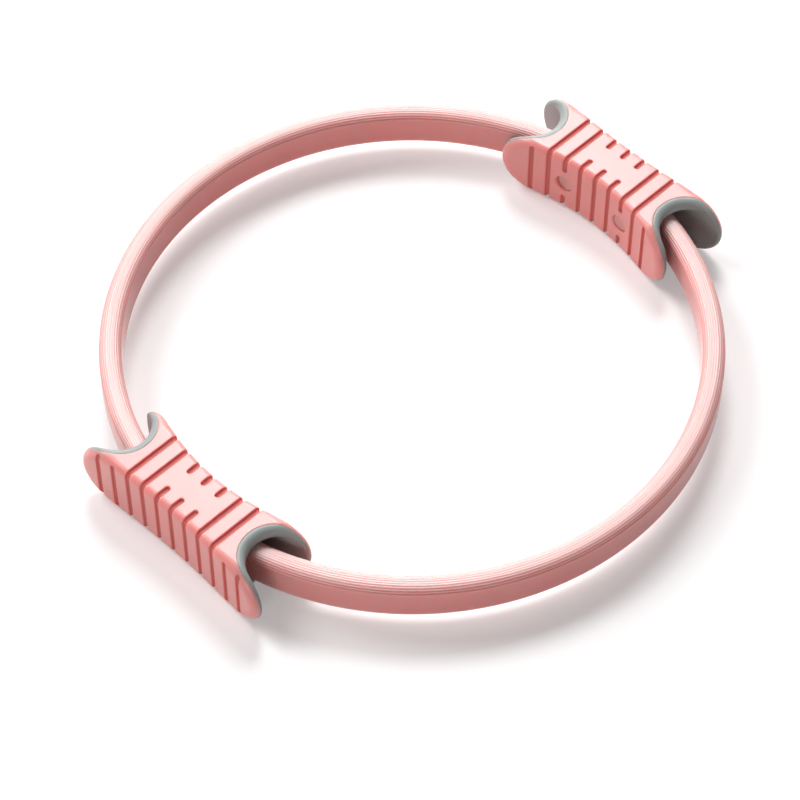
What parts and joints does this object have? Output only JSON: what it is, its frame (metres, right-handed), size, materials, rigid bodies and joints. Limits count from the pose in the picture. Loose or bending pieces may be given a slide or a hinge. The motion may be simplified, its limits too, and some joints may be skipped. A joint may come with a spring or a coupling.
{
  "type": "pilates ring",
  "caption": "Flexible exercise hoop with a sleeved spring band and opposed grooved hand grips, squeezed between hands or legs and springing back.",
  "frame": {"origin": "centre of the hoop, on the floor under the grips, which stand lower than the hoop", "axes": "+Z along the hoop's axis, upwards; +X through the middle of the right grip; +Y towards the rear half hoop"},
  "size_m": [0.3896, 0.3654, 0.043],
  "materials": {
    "cover": "matt",
    "plug": "matt",
    "sleeve": "satin",
    "shell": "satin",
    "band": "satin",
    "screw": "satin"
  },
  "bodies": {
    "left_grip": {"left_grip_cover": "cover", "left_inner_shell": "shell", "left_outer_shell": "shell", "left_screws": "screw", "left_plugs": "plug", "rear_band": "band", "front_band": "band", "rear_sleeve": "sleeve", "front_sleeve": "sleeve"},
    "right_grip": {"right_grip_cover": "cover", "right_inner_shell": "shell", "right_outer_shell": "shell", "right_screws": "screw", "right_plugs": "plug"}
  },
  "joints": [
    {"name": "squeeze", "type": "slide", "parent": "left_grip", "child": "right_grip", "axis": [-1, 0, 0], "range_m": [-0.015, 0.08], "stiffness_N_per_m": 1000, "deforming": ["rear_band", "front_band", "rear_sleeve", "front_sleeve"]}
  ]
}
